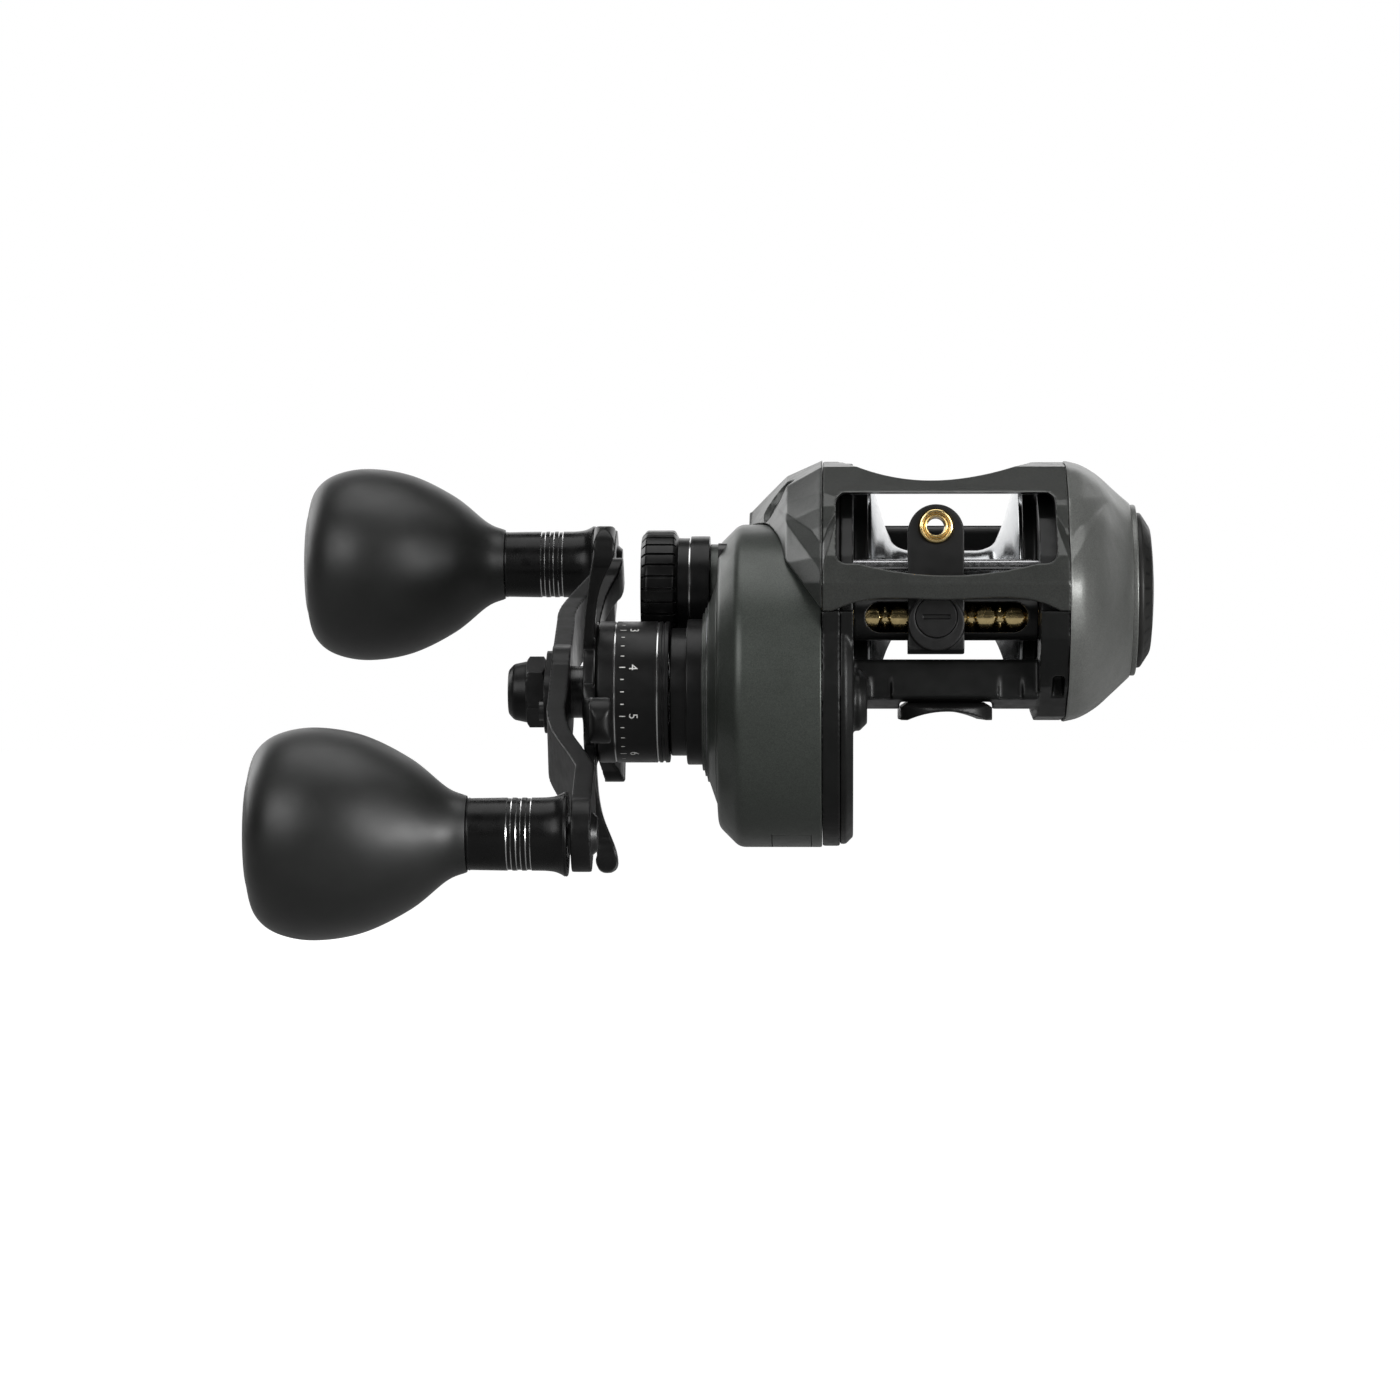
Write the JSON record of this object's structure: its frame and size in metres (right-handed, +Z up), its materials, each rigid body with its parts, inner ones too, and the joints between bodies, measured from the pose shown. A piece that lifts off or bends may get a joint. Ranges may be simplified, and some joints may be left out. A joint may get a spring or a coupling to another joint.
{
  "type": "baitcasting reel",
  "caption": "Low-profile baitcasting fishing reel, right-hand wind: round gear housing, open spool, level-wind line guide, star drag and a swept double handle with large power knobs.",
  "frame": {"origin": "middle of the foot's seat, in the plane of the foot's two side lands that rest on the rod", "axes": "+Z up, away from the rod; -Y to the front, where the line leaves; the crank is on the -X side and every shaft lies along X"},
  "size_m": [0.1417, 0.1193, 0.0762],
  "materials": {
    "frame_paint": "satin black paint",
    "cover_paint": "satin dark green-grey metallic paint",
    "shoulder_paint": "satin mid-grey metallic paint",
    "palm_paint": "satin warm grey metallic paint",
    "nose_paint": "satin dark grey metallic paint",
    "dial_paint": "satin dark grey metallic paint",
    "foot_black": "satin black anodised",
    "handle_black": "satin black anodised",
    "star_black": "satin black anodised, bright turned lines on the collar",
    "ferrule_black": "gloss black anodised with bright turned rings",
    "cap_black": "satin black anodised, knurled",
    "knob_soft_black": "soft-touch satin black",
    "guide_plastic": "satin black moulded plastic",
    "thumb_rubber": "satin black, ribbed",
    "cam_plastic": "moulded natural plastic",
    "spool_metal": "polished",
    "rotor_metal": "bright",
    "gear_brass": "machined",
    "worm_gold": "polished gold",
    "guide_gold": "polished gold, hard-coated",
    "steel": "machined",
    "screw_black": "blackened",
    "drag_fibre": "woven fibre washer",
    "magnet_nickel": "nickel-plated"
  },
  "bodies": {
    "frame": {"frame": "frame_paint", "reel_foot": "foot_black", "foot_screws": "screw_black", "gear_side_base": "frame_paint", "gear_cover": "cover_paint", "gear_cover_screws": "screw_black", "service_panel": "nose_paint", "shoulder_cover": "shoulder_paint", "nose_cover": "nose_paint", "worm_tube": "guide_plastic", "worm_bushings": "guide_plastic", "guide_rod": "steel", "drive_bearing": "steel", "pinion_bearing": "steel", "spool_end_bearing": "steel", "roller_clutch": "steel", "yoke_springs": "steel"},
    "crank": {"drive_shaft": "steel", "main_gear": "gear_brass", "drag_discs": "drag_fibre", "drag_plates": "steel", "pressure_plate": "steel", "roller_sleeve": "steel", "level_wind_cog": "cam_plastic", "ratchet": "steel", "handle_spacer": "screw_black", "handle_arm": "handle_black", "nut_lock_plate": "handle_black", "handle_nut": "handle_black", "knob_shafts": "screw_black", "crank_screws": "screw_black", "drag_springs": "steel"},
    "spool": {"spool": "spool_metal", "spool_shaft": "steel", "brake_rotor": "rotor_metal"},
    "yoke": {"pinion_yoke": "steel"},
    "pinion": {"pinion": "gear_brass"},
    "clutch_cam": {"clutch_cam": "cam_plastic"},
    "thumb_bar": {"thumb_bar": "thumb_rubber"},
    "worm": {"worm_shaft": "worm_gold", "worm_gear": "cam_plastic"},
    "line_guide": {"line_guide": "guide_plastic", "guide_insert": "guide_gold", "pawl": "steel", "pawl_cap": "guide_plastic"},
    "palm_plate": {"palm_plate": "palm_paint", "palm_bearing": "steel"},
    "brake_dial": {"brake_dial": "dial_paint"},
    "magnet_carrier": {"magnet_carrier": "guide_plastic", "brake_magnets": "magnet_nickel"},
    "star_drag": {"star_drag": "star_black", "star_nut": "gear_brass"},
    "front_knob": {"front_knob_grip": "knob_soft_black", "front_knob_ferrule": "ferrule_black", "front_knob_bearings": "steel"},
    "rear_knob": {"rear_knob_grip": "knob_soft_black", "rear_knob_ferrule": "ferrule_black", "rear_knob_bearings": "steel"},
    "cast_cap": {"cast_cap": "cap_black", "cap_shim": "steel"}
  },
  "joints": [
    {"name": "crank_turn", "type": "hinge", "parent": "frame", "child": "crank", "pos_m": [0, -0.01217, 0.0045], "axis": [1, 0, 0], "continuous": true},
    {"name": "spool_spin", "type": "hinge", "parent": "frame", "child": "spool", "pos_m": [0, 0.002, 0.0212], "axis": [1, 0, 0], "continuous": true},
    {"name": "thumb_press", "type": "slide", "parent": "frame", "child": "thumb_bar", "axis": [0, 0, -1], "range_m": [0, 0.004]},
    {"name": "yoke_lift", "type": "slide", "parent": "frame", "child": "yoke", "axis": [-1, 0, 0], "range_m": [0, 0.0014], "deforming": ["yoke_springs"]},
    {"name": "pinion_spin", "type": "hinge", "parent": "yoke", "child": "pinion", "pos_m": [0, 0.002, 0.0212], "axis": [1, 0, 0], "continuous": true},
    {"name": "cam_turn", "type": "hinge", "parent": "frame", "child": "clutch_cam", "pos_m": [0, 0.002, 0.0212], "axis": [1, 0, 0], "range_deg": [-11.5, 0]},
    {"name": "worm_spin", "type": "hinge", "parent": "frame", "child": "worm", "pos_m": [0, -0.02413, 0.0163], "axis": [1, 0, 0], "continuous": true},
    {"name": "guide_travel", "type": "slide", "parent": "frame", "child": "line_guide", "axis": [1, 0, 0], "range_m": [-0.007, 0.0104]},
    {"name": "palm_plate_pull", "type": "slide", "parent": "frame", "child": "palm_plate", "axis": [1, 0, 0], "range_m": [0, 0.04]},
    {"name": "brake_dial_turn", "type": "hinge", "parent": "palm_plate", "child": "brake_dial", "pos_m": [0, 0.002, 0.0212], "axis": [1, 0, 0], "range_deg": [0, 240]},
    {"name": "magnet_travel", "type": "slide", "parent": "palm_plate", "child": "magnet_carrier", "axis": [-1, 0, 0], "range_m": [0, 0.0015]},
    {"name": "star_turn", "type": "hinge", "parent": "crank", "child": "star_drag", "pos_m": [0, -0.01217, 0.0045], "axis": [1, 0, 0], "range_deg": [-180, 180]},
    {"name": "front_knob_spin", "type": "hinge", "parent": "crank", "child": "front_knob", "pos_m": [0, -0.0555, -0.01729], "axis": [1, 0, 0], "continuous": true},
    {"name": "rear_knob_spin", "type": "hinge", "parent": "crank", "child": "rear_knob", "pos_m": [0, 0.03116, 0.02629], "axis": [1, 0, 0], "continuous": true},
    {"name": "cast_cap_turn", "type": "hinge", "parent": "frame", "child": "cast_cap", "pos_m": [0, 0.002, 0.0212], "axis": [1, 0, 0], "range_deg": [-270, 90]}
  ],
  "couplings": [
    {"joint": "spool_spin", "follows": "crank_turn", "ratio": -6.3},
    {"joint": "pinion_spin", "follows": "crank_turn", "ratio": -6.3},
    {"joint": "worm_spin", "follows": "crank_turn", "ratio": -1.5455},
    {"joint": "yoke_lift", "follows": "thumb_press", "ratio": 0.35},
    {"joint": "cam_turn", "follows": "thumb_press", "rad_per_m": -50},
    {"joint": "magnet_travel", "follows": "brake_dial_turn", "m_per_rad": 0.00034616}
  ]
}
